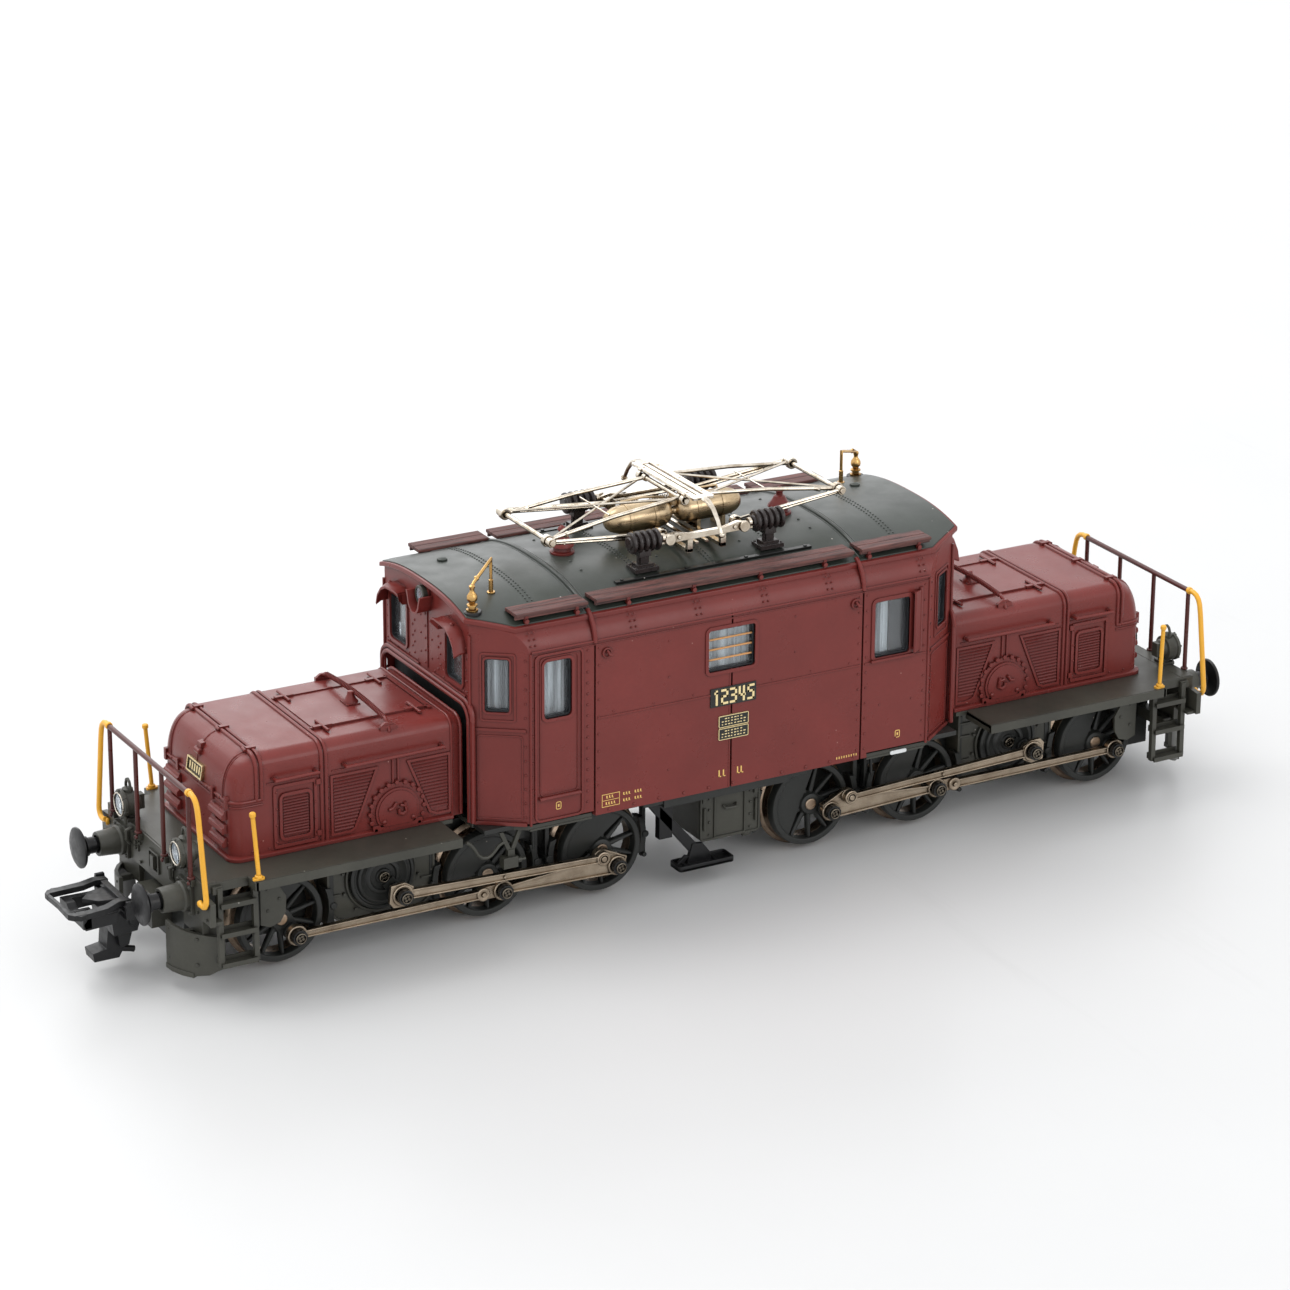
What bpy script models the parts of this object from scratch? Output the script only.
"""Model electric locomotive, H0 scale (1:87): a cab on two hooded six-wheel trucks with side rods.

The frame stands on the rail-top plane at the loco's centre. +X runs along the loco towards its
rear end, +Z is up, and -Y is the left side.
Shapes are worked out in millimetres and scaled to metres when a sub-part is finished.
"""
import math

import bmesh
import bpy
from mathutils import Matrix, Vector

MM = 0.001

# Driving dimensions, in millimetres.
BUFFER_FACE_X = 82.0
BUFFER_Y = 10.06
BUFFER_Z = 12.09
BUFFER_HEAD_R = 2.7
WHEEL_R = 6.0
FLANGE_R = 6.7
AXLE_X = {"inner": 16.08, "middle": 33.03, "outer": 62.54}
AXLE_Z = WHEEL_R
WHEEL_OUTER_Y = 10.1
WHEEL_BACK_Y = 7.0
CRANK_THROW = 2.5
CRANK_PHASE = {"front": math.radians(-53.0), "rear": math.radians(-22.0)}
QUARTERING = math.radians(90.0)
JACK_X = 48.0
JACK_Z = 8.85
KNUCKLE = (2.6, 1.83)
ROD_Y = (11.0, 11.9)
DRIVE_ROD_Y = (12.1, 12.9)
PIVOT_X = 32.0
FLOOR_Z = (13.9, 14.6)
SHAFT_Z = 17.9
DECK_Z = (14.3, 15.3)
DECK_HALF = 17.4
BEAM_X = 75.3
HOOD_X = (38.2, 69.2)
HOOD_HALF = 10.63
HOOD_Z = (15.4, 29.1)
CAB_HALF = 16.71
CAB_SIDE_X = 30.02
CAB_FRONT_X = 36.4
CAB_FRONT_HALF = 12.1
CAB_SIDE_TOP_Z = 38.3
ROOF_CROWN_Z = 44.35
ROOF_EDGE = (15.4, 41.56)
ROOF_FRONT = (37.14, 12.16)
ROOF_DROP = 1.51
ROOF_THICK = 0.9
INSULATOR = (9.43, 8.95, 48.0)
ARM_PIVOT = (5.6, 47.3)
ARM_KNUCKLE = (21.84, 48.87)
ARM_APEX = (1.5, 51.0)
ARM_Y = 6.95
SHOE_Z = 52.0
RAIL_X = 75.75

SCENE = bpy.context.scene


# Scene and materials.

def clear_scene():
    for old in list(bpy.data.objects):
        bpy.data.objects.remove(old, do_unlink=True)


def make_material(name, colour, roughness, metallic=0.0):
    material = bpy.data.materials.new(name)
    material.use_nodes = True
    shader = material.node_tree.nodes["Principled BSDF"]
    shader.inputs["Base Color"].default_value = (*colour, 1.0)
    shader.inputs["Roughness"].default_value = roughness
    shader.inputs["Metallic"].default_value = metallic
    return material


PAINTS = {
    "body_red": ((0.19, 0.05, 0.04), 0.42, 0.0),
    "roof_grey": ((0.05, 0.055, 0.048), 0.5, 0.0),
    "frame_grey": ((0.07, 0.075, 0.062), 0.5, 0.0),
    "wheel_black": ((0.022, 0.023, 0.022), 0.5, 0.0),
    "rod_nickel": ((0.5, 0.42, 0.34), 0.32, 1.0),
    "silver": ((0.72, 0.68, 0.62), 0.3, 1.0),
    "brass": ((0.72, 0.52, 0.2), 0.28, 1.0),
    "insulator_brown": ((0.03, 0.02, 0.018), 0.35, 0.0),
    "board_wood": ((0.12, 0.035, 0.028), 0.7, 0.0),
    "window_clear": ((0.75, 0.78, 0.8), 0.08, 0.0),
    "board_green": ((0.02, 0.12, 0.05), 0.5, 0.0),
    "motor_steel": ((0.4, 0.4, 0.42), 0.35, 1.0),
    "coupler_black": ((0.015, 0.015, 0.016), 0.45, 0.0),
}


# Solids in millimetres: each function returns a closed mesh object with outward faces.

def solid_from(bm):
    bmesh.ops.recalc_face_normals(bm, faces=bm.faces)
    mesh = bpy.data.meshes.new("solid")
    bm.to_mesh(mesh)
    bm.free()
    made = bpy.data.objects.new("solid", mesh)
    SCENE.collection.objects.link(made)
    return made


def skin(rings):
    """Join rings of equal length into one closed solid; a ring of one point is a pole."""
    bm = bmesh.new()
    loops = [[bm.verts.new(point) for point in ring] for ring in rings]
    for low, high in zip(loops, loops[1:]):
        count = max(len(low), len(high))
        for i in range(count):
            j = (i + 1) % count
            corners = [low[i % len(low)], low[j % len(low)], high[j % len(high)], high[i % len(high)]]
            bm.faces.new(list(dict.fromkeys(corners)))
    for loop in (loops[0], loops[-1]):
        if len(loop) > 2:
            bm.faces.new(loop)
    return solid_from(bm)


def on_axis(axis, along, a, b):
    """Point at 'along' on the axis and (a, b) across it: (y, z), (x, z) or (x, y)."""
    if axis == "X":
        return (along, a, b)
    if axis == "Y":
        return (a, along, b)
    return (a, b, along)


def prism(outline, axis, lo, hi):
    return skin([[on_axis(axis, end, a, b) for a, b in outline] for end in (lo, hi)])


def box(x, y, z):
    (x0, x1), (y0, y1), (z0, z1) = (sorted(pair) for pair in (x, y, z))
    return prism([(x0, y0), (x1, y0), (x1, y1), (x0, y1)], "Z", z0, z1)


def turned(profile, axis, centre=(0.0, 0.0), segments=24):
    """Turn (along, radius) points about an axis through 'centre'; radius 0 ends in a pole."""
    rings = []
    for along, radius in profile:
        count = segments if radius > 0 else 1
        angles = [2 * math.pi * k / segments for k in range(count)]
        rings.append([on_axis(axis, along, centre[0] + radius * math.cos(t),
                              centre[1] + radius * math.sin(t)) for t in angles])
    return skin(rings)


def cylinder(axis, centre, radius, lo, hi, segments=16):
    return turned([(lo, radius), (hi, radius)], axis, centre, segments)


def tube(points, radius, sides=6):
    """Round bar swept through points, mitred at each bend."""
    path = [Vector(point) for point in points]
    steps = [(b - a).normalized() for a, b in zip(path, path[1:])]
    side = steps[0].orthogonal().normalized()
    rings = []
    for k, point in enumerate(path):
        before, after = steps[max(k - 1, 0)], steps[min(k, len(steps) - 1)]
        tangent = (before + after).normalized()
        side = (side - tangent * side.dot(tangent)).normalized()
        other = tangent.cross(side)
        stretch = 1.0 / max(tangent.dot(after), 0.5)
        bend = (after - before)
        rings.append([])
        for i in range(sides):
            angle = 2 * math.pi * i / sides
            offset = (side * math.cos(angle) + other * math.sin(angle)) * radius
            if bend.length > 1e-6:
                across = bend.normalized()
                offset += across * offset.dot(across) * (stretch - 1.0)
            rings[-1].append(tuple(point + offset))
    return skin(rings)


def combine(base, others, operation):
    """Apply one Boolean between the base solid and all the others, and drop them."""
    if not others:
        return base
    group = bpy.data.collections.new("operands")
    for other in others:
        group.objects.link(other)
    cut = base.modifiers.new("combine", "BOOLEAN")
    cut.operation = operation
    cut.solver = "EXACT"
    cut.operand_type = "COLLECTION"
    cut.collection = group
    shaped = base.evaluated_get(bpy.context.evaluated_depsgraph_get())
    mesh = bpy.data.meshes.new_from_object(shaped)
    base.modifiers.clear()
    base.data = mesh
    bpy.data.collections.remove(group)
    for other in others:
        bpy.data.objects.remove(other, do_unlink=True)
    return base


def fuse(adds, cuts=(), keep=()):
    made = combine(adds[0], list(adds[1:]), "UNION")
    for limit in keep:
        made = combine(made, [limit], "INTERSECT")
    return combine(made, list(cuts), "DIFFERENCE")


def finish(name, paint, made, pivot=(0.0, 0.0, 0.0), parent=None):
    """Name a finished solid, scale it to metres and put its origin on its pivot."""
    made.name = name
    made.data.name = name
    bm = bmesh.new()
    bm.from_mesh(made.data)
    bmesh.ops.remove_doubles(bm, verts=bm.verts, dist=0.0005)
    bmesh.ops.dissolve_limit(bm, angle_limit=math.radians(0.05), verts=bm.verts, edges=bm.edges)
    bm.to_mesh(made.data)
    bm.free()
    made.data.transform(Matrix.Scale(MM, 4) @ Matrix.Translation(-Vector(pivot)))
    made.location = Vector(pivot) * MM
    if parent:
        made.parent = parent
        made.location -= parent.location
    made.data.materials.clear()
    made.data.materials.append(MATERIALS[paint])
    made.data.shade_smooth()
    made.data.set_sharp_from_angle(angle=math.radians(35.0))
    return made


def pivot_empty(name, point):
    marker = bpy.data.objects.new(name, None)
    marker.empty_display_size = 0.005
    marker.location = Vector(point) * MM
    SCENE.collection.objects.link(marker)
    return marker


# Outlines shared by several sub-parts.

def roof_height(y):
    return ROOF_CROWN_Z - ROOF_DROP * (abs(y) / ROOF_FRONT[1]) ** 2.6


def mirror_outline(half):
    """Close a half outline of (x, y) points, x falling from + to -, by mirroring it in y."""
    return half + [(x, -y) for x, y in reversed(half)]


def cab_plan(inset=0.0):
    front, half, side, wide = CAB_FRONT_X, CAB_FRONT_HALF, CAB_SIDE_X, CAB_HALF
    corner = inset * 0.4
    half_outline = [(front - inset, half - corner), (side - corner, wide - inset),
                    (-side + corner, wide - inset), (-front + inset, half - corner)]
    return mirror_outline(half_outline)


def cab_section(inset=0.0, top_gap=0.0):
    """Cross-section (y, z): upright side, rounded shoulder under the eave, arched top."""
    shoulder = [(CAB_HALF, CAB_SIDE_TOP_Z), (16.45, 39.6), (15.95, 40.75), ROOF_EDGE]
    side = [(y - inset, z) for y, z in shoulder]
    samples = [(y, roof_height(y) - top_gap) for y in (14.0, 12.2, 9.0, 5.0)]
    arch = [(min(y, ROOF_EDGE[0] - inset), z) for y, z in samples]
    right = [(CAB_HALF - inset, 5.0)] + [(y, z - top_gap) for y, z in side] + arch
    return right + [(0.0, roof_height(0.0) - top_gap)] + [(-y, z) for y, z in reversed(right)]


# Cab body.

def window(x, z, y, depth=2.4):
    """Cutter for a window in a side wall at y."""
    return box(x, (y - depth, y + depth), z)


def corner_window(sx, sy):
    """Cutter across one slanting corner panel."""
    a = Vector((CAB_FRONT_X * sx, CAB_FRONT_HALF * sy))
    b = Vector((CAB_SIDE_X * sx, CAB_HALF * sy))
    along = (b - a).normalized()
    out = Vector((-along.y, along.x))
    start, end = a + along * 1.7, a + along * 5.3
    outline = [start - out * 2.2, end - out * 2.2, end + out * 2.2, start + out * 2.2]
    return prism([tuple(point) for point in outline], "Z", 30.0, 37.7)


def build_cab_shell():
    outer = fuse([prism(cab_plan(), "Z", 14.2, 50.0)],
                 keep=[prism(cab_section(top_gap=ROOF_THICK + 0.1), "X", -40.0, 40.0)])
    inner = fuse([prism(cab_plan(1.2), "Z", 10.0, 52.0)],
                 keep=[prism(cab_section(1.2), "X", -40.0, 40.0)])
    cuts = [inner]
    for sx in (-1, 1):
        cuts.append(box((20.7 * sx, 40.0 * sx), (-20.0, 20.0), (10.0, 14.9)))
        cuts.append(box((33.0 * sx, 40.0 * sx), (-7.0, 7.0), (10.0, 22.4)))
        for y in (-8.1, 8.1):
            cuts.append(box((34.0 * sx, 40.0 * sx), (y - 2.4, y + 2.4), (33.2, 38.6)))
        for sy in (-1, 1):
            cuts.append(corner_window(sx, sy))
    for turn in (1, -1):
        y = -CAB_HALF * turn
        cuts.append(window((-28.1 * turn, -24.0 * turn), (29.1, 36.8), y))
        cuts.append(window((-3.87 * turn, 3.05 * turn), (30.9, 36.7), y))
        cuts.append(window((21.6 * turn, 26.95 * turn), (28.3, 36.2), y))
    finish("cab_shell", "body_red", fuse([outer], cuts))


def build_roof():
    ys = [-ROOF_EDGE[0], -14.0, -12.2, -9.0, -5.0, 0.0, 5.0, 9.0, 12.2, 14.0, ROOF_EDGE[0]]
    top = [(y, roof_height(y)) for y in ys]
    under = [(y, z - ROOF_THICK) for y, z in reversed(top)]
    front, half = ROOF_FRONT
    plan = mirror_outline([(front, half), (31.54, 15.38), (-31.54, 15.38), (-front, half)])
    sheet = fuse([prism(top + under, "X", -40.0, 40.0)], keep=[prism(plan, "Z", 30.0, 50.0)])
    finish("roof", "roof_grey", sheet)


def build_window_insert():
    outer = fuse([prism(cab_plan(1.35), "Z", 27.4, 38.9)])
    hollow = prism(cab_plan(1.95), "Z", 20.0, 45.0)
    finish("window_insert", "window_clear", fuse([outer], [hollow]))


def build_underframe():
    low, high = FLOOR_Z
    adds = [box((-36.0, 36.0), (-15.3, 15.3), (low, high))]
    for sx in (-1, 1):
        adds.append(box((20.9 * sx, 36.0 * sx), (-16.3, 16.3), (low, high)))
        adds.append(cylinder("Z", (PIVOT_X * sx, 0.0), 1.5, 10.6, high + 0.9, 16))
        adds.append(cylinder("Z", (PIVOT_X * sx, 0.0), 2.2, high - 0.2, high + 0.9, 12))
    for sy in (-1, 1):
        adds.append(box((-9.5, 9.5), (13.4 * sy, 15.3 * sy), (12.4, low + 0.2)))
    cuts = [box((-20.6, 20.6), (-6.6, 6.6), (10.0, 16.0))]
    finish("underframe", "frame_grey", fuse(adds, cuts))


def build_drive():
    """Motor in the cab floor, and the shaft with its two flywheels and joint cups."""
    can = cylinder("X", (0.0, SHAFT_Z), 5.5, -12.0, 12.0, 18)
    foot = box((-9.0, 9.0), (-8.4, 8.4), (14.75, 16.2))
    motor = fuse([can, foot], [cylinder("X", (0.0, SHAFT_Z), 1.0, -14.0, 14.0, 12)])
    finish("motor", "motor_steel", motor)
    half = [(0.0, 0.8), (13.0, 0.8), (13.0, 4.4), (19.0, 4.4), (19.0, 0.8), (29.4, 0.8),
            (29.4, 1.6), (31.7, 1.6)]
    profile = [(-x, r) for x, r in reversed(half)] + half[1:]
    shaft = turned(profile, "X", (0.0, SHAFT_Z), 14)
    finish("motor_shaft", "motor_steel", shaft, pivot=(0.0, 0.0, SHAFT_Z))
    board = box((-26.0, 26.0), (-11.0, 11.0), (25.0, 26.2))
    chip = box((-6.0, 6.0), (-4.0, 4.0), (26.0, 27.2))
    finish("circuit_board", "board_green", fuse([board, chip]))


def build_under_cab():
    finish("battery_box", "frame_grey", box((-2.2, 7.0), (-12.1, 12.1), (4.8, 12.2)))
    adds = [box((-8.0, -6.4), (-12.6, 12.6), (11.2, 12.2))]
    for sy in (-1, 1):
        adds.append(box((-8.0, -6.4), (11.2 * sy, 12.6 * sy), (11.4, 13.8)))
        adds.append(box((-6.2, 2.0), (10.6 * sy, 14.2 * sy), (1.9, 2.5)))
        adds.append(tube([(-7.2, 11.8 * sy, 12.6), (-3.6, 12.2 * sy, 2.2)], 0.6))
        adds.append(box((-4.3, -2.9), (11.4 * sy, 13.2 * sy), (2.2, 3.3)))
    finish("step_bracket", "coupler_black", fuse(adds))


# Roof equipment.

def build_roof_boards(name, sy):
    adds = []
    for x in ((-31.3, -20.8), (-19.7, 18.8), (20.0, 30.8)):
        adds.append(box(x, (12.2 * sy, 15.4 * sy), (43.0, 43.45)))
    adds.append(box((-31.0, 30.5), (14.5 * sy, 15.0 * sy), (42.5, 43.1)))
    for x in (-29.5, -22.5, -15.0, -5.0, 5.0, 15.0, 22.0, 29.0):
        adds.append(box((x - 0.3, x + 0.3), (14.4 * sy, 15.1 * sy), (42.05, 42.8)))
    finish(name, "board_wood", fuse(adds))


def build_whistle(name, turn):
    x, y = -35.4 * turn, -11.1 * turn
    body = turned([(43.4, 0.9), (43.8, 0.9), (44.1, 0.5), (44.4, 0.85), (45.0, 0.85), (45.7, 0.75),
                   (46.5, 0.35), (46.7, 0.35)], "Z", (x, y), 12)
    foot = (-31.0 * turn, -7.8 * turn)
    pipe = tube([(x, y, 46.3), (foot[0], foot[1], 47.6), (foot[0], foot[1], 44.1)], 0.26)
    finish(name, "brass", fuse([body, pipe]))


def build_insulator(name, sx, sy):
    x, y, z = INSULATOR
    ribs = [(7.15, 0.8), (7.15, 1.35), (8.8, 1.35), (8.9, 0.9), (10.0, 0.9), (10.1, 1.35),
            (11.75, 1.35), (11.75, 0.8)]
    drum = turned([(along * sx, r) for along, r in ribs], "X", (y * sy, z), 14)
    post = box(((x - 0.6) * sx, (x + 0.6) * sx), ((y - 0.6) * sy, (y + 0.6) * sy), (44.2, z - 0.5))
    foot = box(((x - 1.7) * sx, (x + 1.7) * sx), ((y - 1.3) * sy, (y + 1.3) * sy), (44.05, 44.6))
    finish(name, "insulator_brown", fuse([drum, post, foot]))


def build_air_tank():
    z = 47.55
    ends = [(0.0, 0.0), (0.4, 0.9), (1.3, 1.6), (2.6, 1.9)]
    profile = [(-10.2 + a, r) for a, r in ends] + [(10.2 - a, r) for a, r in reversed(ends)]
    finish("air_tank", "brass", turned(profile, "X", (0.0, z), 16))


def build_pantograph_base():
    x, y, z = ARM_PIVOT[0], INSULATOR[1], ARM_PIVOT[1]
    adds = []
    for sy in (-1, 1):
        adds.append(box((-7.0, 7.0), ((y - 0.35) * sy, (y + 0.35) * sy), (z - 0.5, z + 0.7)))
        for sx in (-1, 1):
            adds.append(cylinder("Y", (x * sx, z), 0.35, 6.2 * sy, y * sy, 8))
            adds.append(box((2.1 * sx, 2.9 * sx), ((y - 0.3) * sy, (y + 0.3) * sy), (45.0, z)))
    for sx in (-1, 1):
        adds.append(box((2.1 * sx, 2.9 * sx), (-y - 0.3, y + 0.3), (45.0, 45.5)))
    finish("pantograph_base", "silver", fuse(adds))


def eye(axis_point, y, sy, outer, inner, width):
    """Ring solid and the cutter for its hole, turned about Y."""
    lo, hi = sorted(((y - width / 2) * sy, (y + width / 2) * sy))
    ring = cylinder("Y", axis_point, outer, lo, hi, 10)
    hole = cylinder("Y", axis_point, inner, lo - 0.4, hi + 0.4, 10)
    return ring, hole


def build_lower_arm(name, sx):
    pivot = (ARM_PIVOT[0] * sx, ARM_PIVOT[1])
    knuckle = (ARM_KNUCKLE[0] * sx, ARM_KNUCKLE[1])
    adds, cuts = [], []
    for sy in (-1, 1):
        ring, hole = eye(pivot, ARM_Y, sy, 0.8, 0.48, 0.8)
        adds.append(ring)
        cuts.append(hole)
        adds.append(tube([(pivot[0] + 0.6 * sx, ARM_Y * sy, pivot[1] + 0.06),
                          (knuckle[0], ARM_Y * sy, knuckle[1])], 0.33))
    adds.append(cylinder("Y", knuckle, 0.35, -ARM_Y - 0.4, ARM_Y + 0.4, 8))
    finish(name, "silver", fuse(adds, cuts), pivot=(pivot[0], 0.0, pivot[1]))


def build_upper_arm(name, sx, apex_half):
    knuckle = (ARM_KNUCKLE[0] * sx, ARM_KNUCKLE[1])
    apex = (ARM_APEX[0] * sx, ARM_APEX[1])
    adds, cuts = [], []
    near, far = 5.9, 4.6

    def point(share, y):
        x = knuckle[0] + (apex[0] - knuckle[0]) * share
        z = knuckle[1] + (apex[1] - knuckle[1]) * share
        return (x, y, z)

    for sy in (-1, 1):
        ring, hole = eye(knuckle, near, sy, 0.8, 0.48, 0.8)
        adds.append(ring)
        cuts.append(hole)
        adds.append(tube([point(0.03, near * sy), point(1.0, far * sy)], 0.33))
    adds.append(tube([point(0.04, near), point(0.93, -far)], 0.2))
    adds.append(tube([point(0.04, -near), point(0.93, far)], 0.2))
    adds.append(cylinder("Y", apex, 0.35, -apex_half, apex_half, 8))
    finish(name, "silver", fuse(adds, cuts), pivot=(knuckle[0], 0.0, knuckle[1]))


def build_contact_shoe():
    apex = (-ARM_APEX[0], ARM_APEX[1])
    adds, cuts = [], []
    for sx in (-1, 1):
        adds.append(box((0.55 * sx, 1.45 * sx), (-8.2, 8.2), (SHOE_Z - 0.35, SHOE_Z)))
    for sy in (-1, 1):
        adds.append(box((-1.4, 1.4), (7.3 * sy, 8.3 * sy), (SHOE_Z - 0.3, SHOE_Z - 0.05)))
        horn = [(0.0, 7.6 * sy, SHOE_Z - 0.2), (0.0, 10.0 * sy, SHOE_Z - 0.6),
                (0.0, 12.3 * sy, SHOE_Z - 2.2), (0.0, 13.2 * sy, SHOE_Z - 3.6)]
        adds.append(tube(horn, 0.3))
        ring, hole = eye(apex, 5.8, sy, 0.7, 0.48, 0.7)
        adds.append(ring)
        cuts.append(hole)
        adds.append(box((apex[0] - 0.3, apex[0] + 0.6), (5.45 * sy, 6.15 * sy),
                        (apex[1] + 0.55, SHOE_Z - 0.1)))
    finish("contact_shoe", "silver", fuse(adds, cuts), pivot=(apex[0], 0.0, apex[1]))


def build_pantograph():
    build_pantograph_base()
    for name, sx in (("front", -1), ("rear", 1)):
        build_lower_arm(f"{name}_lower_arm", sx)
        build_upper_arm(f"{name}_upper_arm", sx, 6.5 if sx < 0 else 4.9)
    build_contact_shoe()


# Trucks. s is -1 at the front end and +1 at the rear end.

def crank_offset(end, sy):
    """Crank pin from its axle as (x, z); the right side is a quarter turn from the left."""
    angle = CRANK_PHASE[end] + (QUARTERING if sy > 0 else 0.0)
    return CRANK_THROW * math.cos(angle), CRANK_THROW * math.sin(angle)


def crank_pins(end, centre, start, stop, radius):
    """Pins on both sides with their heads, which hold the rods on."""
    solids = []
    for sy in (-1, 1):
        dx, dz = crank_offset(end, sy)
        point = (centre[0] + dx, centre[1] + dz)
        solids.append(cylinder("Y", point, radius, (start - 0.3) * sy, (stop + 0.1) * sy, 8))
        solids.append(cylinder("Y", point, 1.05, stop * sy, (stop + 0.9) * sy, 10))
    return solids


def build_wheelset(name, end, x, parent):
    half = [(WHEEL_BACK_Y, 1.0), (WHEEL_BACK_Y, FLANGE_R), (WHEEL_BACK_Y + 0.6, WHEEL_R),
            (WHEEL_OUTER_Y, WHEEL_R)]
    profile = [(-y, r) for y, r in reversed(half)] + half
    wheels = turned(profile, "Y", (x, AXLE_Z), 20)
    pins = crank_pins(end, (x, AXLE_Z), WHEEL_OUTER_Y, ROD_Y[1] + 0.15, 0.55)
    finish(name, "wheel_black", fuse([wheels] + pins), pivot=(x, 0.0, AXLE_Z), parent=parent)


def build_jackshaft(name, end, s, parent):
    x = JACK_X * s
    half = [(1.5, 6.4), (1.5, 1.0), (9.55, 1.0), (9.55, 4.6), (10.4, 4.5)]
    profile = [(-y, r) for y, r in reversed(half)] + half
    shaft = turned(profile, "Y", (x, JACK_Z), 18)
    pins = crank_pins(end, (x, JACK_Z), 10.4, DRIVE_ROD_Y[1] + 0.15, 0.6)
    finish(name, "wheel_black", fuse([shaft] + pins), pivot=(x, 0.0, JACK_Z), parent=parent)


def rod_bar(a, b, height, y):
    """Flat bar from a to b in the x-z plane."""
    a, b = Vector(a), Vector(b)
    across = (b - a).normalized().orthogonal() * height / 2
    outline = [tuple(a + across), tuple(b + across), tuple(b - across), tuple(a - across)]
    return prism(outline, "Y", *y)


def build_rods(end, side, s, sy, parent):
    dx, dz = crank_offset(end, sy)
    pins = {key: (x * s + dx, AXLE_Z + dz) for key, x in AXLE_X.items()}
    jack = (JACK_X * s + dx, JACK_Z + dz)
    knuckle = (pins["inner"][0] + KNUCKLE[0] * s, pins["inner"][1] + KNUCKLE[1])
    y = tuple(value * sy for value in ROD_Y)
    adds = [rod_bar(pins["outer"], pins["middle"], 1.1, y)]
    adds.append(rod_bar(pins["middle"], pins["inner"], 1.2, y))
    adds.append(rod_bar(pins["middle"], knuckle, 0.9, y))
    adds.append(rod_bar(pins["inner"], knuckle, 1.2, y))
    adds += [cylinder("Y", point, 1.3, *y, 14) for point in pins.values()]
    adds.append(cylinder("Y", knuckle, 1.0, *y, 12))
    adds.append(cylinder("Y", knuckle, 0.45, (ROD_Y[1] - 0.2) * sy, (DRIVE_ROD_Y[1] + 0.2) * sy, 8))
    cuts = [cylinder("Y", point, 0.72, 10.5 * sy, 12.4 * sy, 12) for point in pins.values()]
    hinge = (pins["inner"][0], 0.0, pins["inner"][1])
    finish(f"{end}_{side}_side_rod", "rod_nickel", fuse(adds, cuts), pivot=hinge, parent=parent)
    y = tuple(value * sy for value in DRIVE_ROD_Y)
    adds = [rod_bar(jack, knuckle, 1.0, y), cylinder("Y", jack, 1.5, *y, 14),
            cylinder("Y", knuckle, 1.0, *y, 12)]
    cuts = [cylinder("Y", jack, 0.78, 11.8 * sy, 13.2 * sy, 12),
            cylinder("Y", knuckle, 0.6, 11.8 * sy, 13.2 * sy, 12)]
    finish(f"{end}_{side}_drive_rod", "rod_nickel", fuse(adds, cuts), pivot=hinge, parent=parent)


def build_truck_frame(end, s, parent):
    def sx(lo, hi):
        return (lo * s, hi * s)

    adds = [box(sx(12.5, 74.2), (-6.3, 6.3), (2.2, 13.0)),
            box(sx(38.9, 74.2), (-6.3, 6.3), (12.8, 14.2)),
            cylinder("Z", (PIVOT_X * s, 0.0), 3.4, 12.8, 13.7, 16),
            box(sx(40.2, 55.6), (-9.3, 9.3), (3.0, 14.2)),
            box(sx(72.4, 74.0), (-12.6, 12.6), (6.6, 8.6)),
            box(sx(73.0, 77.0), (-2.4, 2.4), (4.6, 9.4))]
    for sy in (-1, 1):
        blade = [(76.3 * s, 7.6 * sy), (77.0 * s, 8.1 * sy), (73.6 * s, 13.6 * sy),
                 (72.6 * s, 13.2 * sy)]
        adds.append(prism(blade, "Z", 1.6, 8.1))
    cuts = [cylinder("Y", (x * s, AXLE_Z), 1.12, -8.0, 8.0, 12) for x in AXLE_X.values()]
    cuts.append(cylinder("Y", (JACK_X * s, JACK_Z), 1.12, -11.0, 11.0, 12))
    cuts.append(box(sx(41.2, 54.8), (-1.9, 1.9), (0.0, 20.0)))
    cuts.append(cylinder("Z", (PIVOT_X * s, 0.0), 1.65, 10.2, 15.0, 16))
    cuts.append(box(sx(74.6, 79.0), (-1.7, 1.7), (5.6, 8.4)))
    finish(f"{end}_truck_frame", "frame_grey", fuse(adds, cuts), parent=parent)


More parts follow.
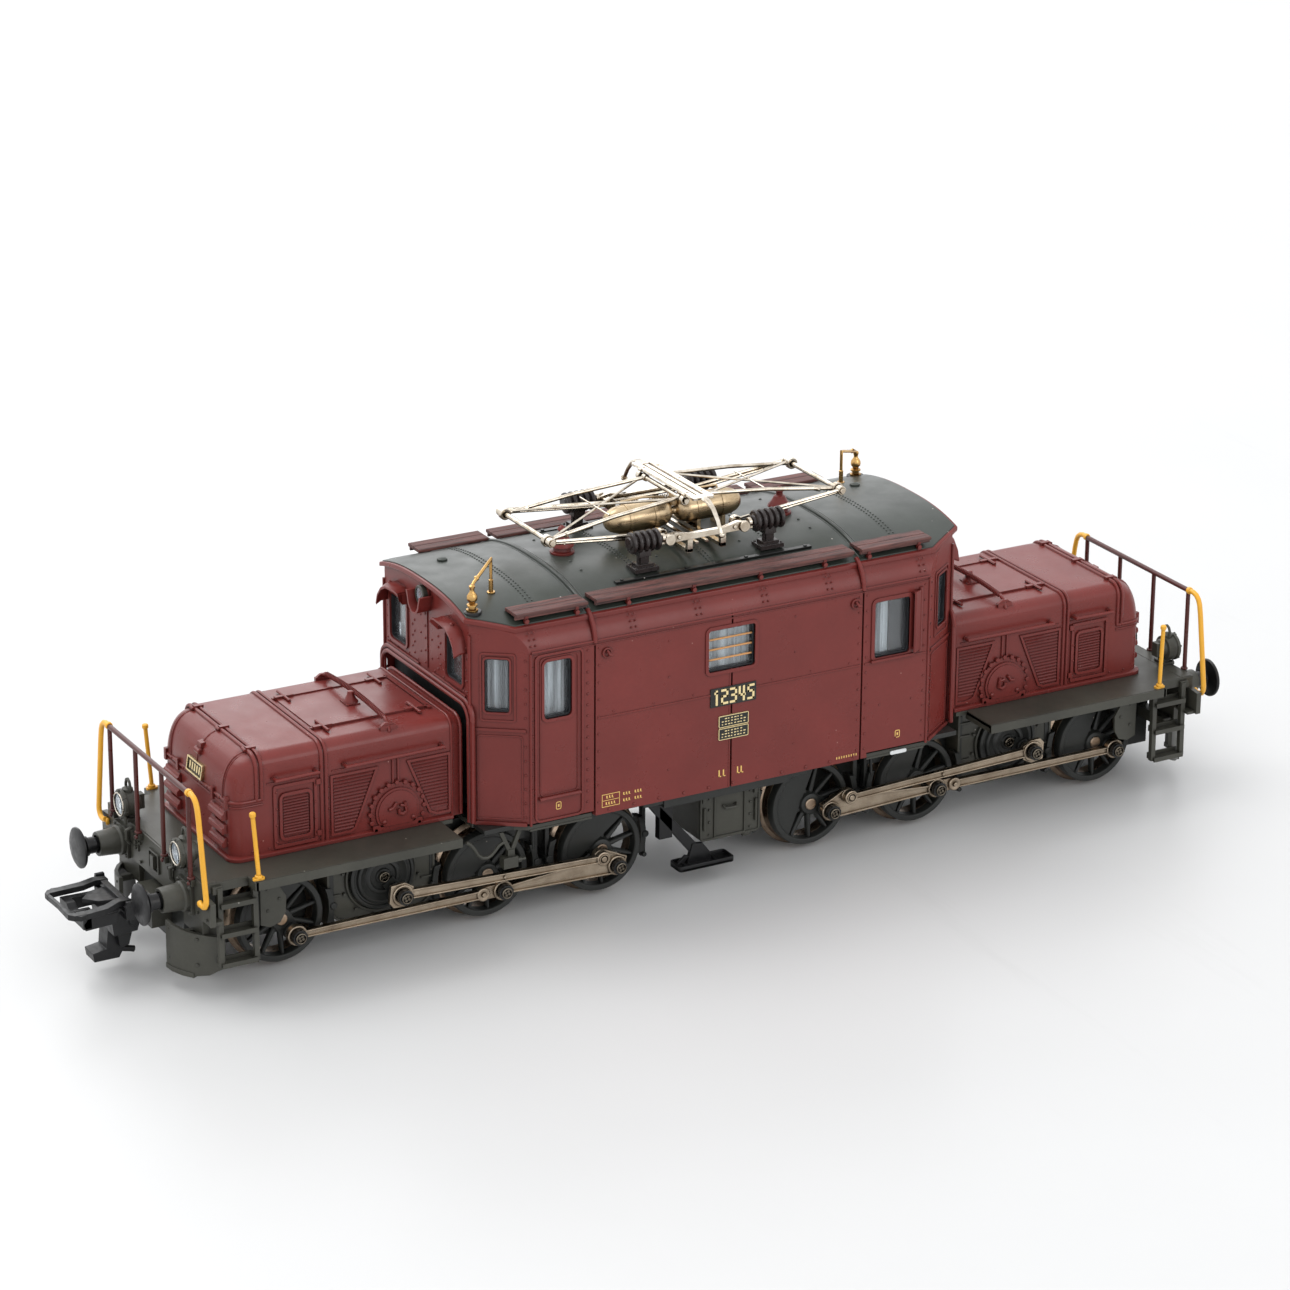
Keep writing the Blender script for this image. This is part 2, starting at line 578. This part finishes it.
def build_deck(end, s, parent):
    def sx(lo, hi):
        return (lo * s, hi * s)

    low, high = DECK_Z
    half_plan = [(BEAM_X - 0.2, 15.0), (69.1, 15.0), (69.1, DECK_HALF), (40.2, DECK_HALF),
                 (40.2, 11.2), (38.5, 11.2)]
    plan = [(x * s, y) for x, y in mirror_outline(half_plan)]
    adds = [prism(plan, "Z", low, high)]
    face = [(17.2, 10.2), (17.2, 13.6), (15.0, 13.6), (15.0, high)]
    beam = face + [(-y, z) for y, z in reversed(face)]
    adds.append(prism(beam, "X", (BEAM_X - 0.8) * s, BEAM_X * s))
    for x in ((39.1, 40.1), (54.9, 56.1)):
        adds.append(box(sx(*x), (-2.6, 2.6), (high - 0.2, SHAFT_Z + 2.0)))
    for sy in (-1, 1):
        housing = [(BEAM_X - 0.4, 1.9), (79.2, 1.6)]
        adds.append(turned([(x * s, r) for x, r in housing], "X", (BUFFER_Y * sy, BUFFER_Z), 14))
        for x in ((73.3, 74.0), (68.4, 69.1)):
            adds.append(box(sx(*x), (14.5 * sy, 15.9 * sy), (4.0, low + 0.2)))
        for z in (4.0, 8.1, 12.1):
            adds.append(box(sx(68.7, 73.7), (14.4 * sy, 16.3 * sy), (z, z + 0.4)))
        adds.append(cylinder("Z", (68.42 * s, 16.67 * sy), 0.42, high - 0.2, 24.4, 6))
    cuts = [box(sx(41.4, 54.6), (-2.0, 2.0), (10.0, 16.0)),
            cylinder("X", (0.0, SHAFT_Z), 0.95, 38.0 * s, 57.0 * s, 12)]
    for sy in (-1, 1):
        cuts.append(cylinder("X", (BUFFER_Y * sy, BUFFER_Z), 1.05, 74.0 * s, 80.0 * s, 10))
    finish(f"{end}_deck", "frame_grey", fuse(adds, cuts), parent=parent)


def hood_solid(s, inset, x_inner, z_low):
    """Box hood with a large round front-top edge, round top sides and round front corners."""
    x_front = HOOD_X[1] - inset
    half = HOOD_HALF - inset
    top = HOOD_Z[1] - inset
    steps = [math.radians(15.0 * k) for k in range(7)]
    side = [(half - 1.7 + 1.7 * math.cos(t), top - 1.7 + 1.7 * math.sin(t)) for t in steps]
    section = [(half, z_low)] + side
    section += [(-y, z) for y, z in reversed(section)]
    front = [(x_front - 4.2 + 4.2 * math.cos(t), top - 6.0 + 6.0 * math.sin(t)) for t in steps]
    lengthwise = [(x_front, z_low)] + front + [(x_inner, top + 0.01), (x_inner, z_low)]
    corner = [(x_front - 1.6 + 1.6 * math.cos(t), half - 1.6 + 1.6 * math.sin(t)) for t in steps]
    plan = [(x_inner, -half - 0.01)] + [(x, -y) for x, y in reversed(corner)] + corner
    plan += [(x_inner, half + 0.01)]
    body = prism(section, "X", (x_inner + 0.01) * s, (x_front - 0.01) * s)
    limits = [prism([(x * s, z) for x, z in lengthwise], "Y", -14.0, 14.0),
              prism([(x * s, y) for x, y in plan], "Z", 5.0, 40.0)]
    return fuse([body], keep=limits)


def build_hood(end, s, parent):
    outer = hood_solid(s, 0.0, HOOD_X[0], HOOD_Z[0])
    hollow = hood_solid(s, 0.9, HOOD_X[0] - 3.0, HOOD_Z[0] - 3.0)
    finish(f"{end}_hood", "body_red", fuse([outer], [hollow]), parent=parent)


def build_railing(end, s, parent):
    x = RAIL_X * s
    adds = [tube([(x, -12.34, 27.0), (x, 12.34, 27.0)], 0.35)]
    for y in (-12.34, -4.11, 4.11, 12.34):
        adds.append(tube([(x, y, 27.0), (x, y, 14.4)], 0.35))
    for sy in (-1, 1):
        bend = [(12.34, 27.0), (14.4, 27.0), (16.0, 26.2), (16.8, 24.6), (17.0, 22.5), (17.0, 13.4),
                (16.5, 12.7), (15.8, 12.6)]
        adds.append(tube([(x, y * sy, z) for y, z in bend], 0.38))
    finish(f"{end}_end_railing", "body_red", fuse(adds), parent=parent)


def build_truck(end, s):
    parent = pivot_empty(f"{end}_truck_pivot", (PIVOT_X * s, 0.0, FLOOR_Z[0]))
    build_truck_frame(end, s, parent)
    build_deck(end, s, parent)
    build_hood(end, s, parent)
    build_railing(end, s, parent)
    for place, x in AXLE_X.items():
        build_wheelset(f"{end}_{place}_wheelset", end, x * s, parent)
    build_jackshaft(f"{end}_jackshaft", end, s, parent)
    profile = [(32.3, 1.6), (34.6, 1.6), (34.6, 0.8), (43.8, 0.8), (43.8, 2.5), (52.2, 2.5),
               (52.2, 0.8), (56.4, 0.8)]
    worm = turned([(x * s, r) for x, r in profile], "X", (0.0, SHAFT_Z), 12)
    finish(f"{end}_worm_shaft", "motor_steel", worm, pivot=(PIVOT_X * s, 0.0, SHAFT_Z), parent=parent)
    for side, sy in (("left", -1), ("right", 1)):
        build_rods(end, side, s, sy, parent)
        centre = (BUFFER_Y * sy, BUFFER_Z)
        profile = [(76.6, 0.9), (81.1, 0.9), (81.2, BUFFER_HEAD_R), (81.8, BUFFER_HEAD_R),
                   (BUFFER_FACE_X, BUFFER_HEAD_R - 0.3)]
        plunger = turned([(x * s, r) for x, r in profile], "X", centre, 14)
        finish(f"{end}_{side}_buffer", "coupler_black", plunger,
               pivot=(BUFFER_FACE_X * s, *centre), parent=parent)
        y = 8.97 * sy
        shape = [(73.3, 1.1), (74.0, 1.3), (74.1, 1.8), (76.2, 1.85), (76.3, 1.6)]
        drum = turned([(x * s, r) for x, r in shape], "X", (y, 17.5), 12)
        stand = box((73.9 * s, 75.2 * s), (y - 0.9, y + 0.9), (DECK_Z[1] + 0.1, 16.4))
        finish(f"{end}_{side}_lamp", "frame_grey", fuse([drum, stand]), parent=parent)


def build_coupler():
    """Hook coupling at the front: a head on a swinging shank, and its lifting loop."""
    pivot = (-75.6, 0.0, 7.0)
    head = [box((-80.2, -75.2), (-0.8, 0.8), (6.0, 8.0)),
            box((-82.6, -79.8), (-3.6, 3.6), (5.4, 8.6)),
            box((-86.4, -82.2), (-3.9, -2.9), (7.2, 8.8)),
            box((-86.4, -82.2), (2.9, 3.9), (7.2, 8.8)),
            box((-86.9, -85.6), (-3.9, 3.9), (7.2, 8.8)),
            box((-82.6, -80.6), (-1.4, 1.4), (1.2, 5.8)),
            box((-84.6, -80.6), (-1.4, 1.4), (1.2, 2.2))]
    finish("coupler_head", "coupler_black", fuse(head), pivot=pivot)
    hinge = (-80.9, 0.0, 9.5)
    loop = [box((-81.4, -80.4), (-3.4, 3.4), (9.0, 10.0)),
            box((-88.2, -80.9), (-4.6, -3.3), (9.1, 9.9)),
            box((-88.2, -80.9), (3.3, 4.6), (9.1, 9.9)),
            box((-88.9, -87.7), (-4.6, 4.6), (9.1, 9.9))]
    finish("coupler_loop", "coupler_black", fuse(loop), pivot=hinge)


def main():
    build_cab_shell()
    build_roof()
    build_window_insert()
    build_underframe()
    build_drive()
    build_under_cab()
    build_roof_boards("left_roof_boards", -1)
    build_roof_boards("right_roof_boards", 1)
    build_whistle("front_whistle", 1)
    build_whistle("rear_whistle", -1)
    for end, sx in (("front", -1), ("rear", 1)):
        for side, sy in (("left", -1), ("right", 1)):
            build_insulator(f"{end}_{side}_insulator", sx, sy)
    build_air_tank()
    build_pantograph()
    build_truck("front", -1)
    build_truck("rear", 1)
    build_coupler()


clear_scene()
MATERIALS = {name: make_material(name, *values) for name, values in PAINTS.items()}
main()
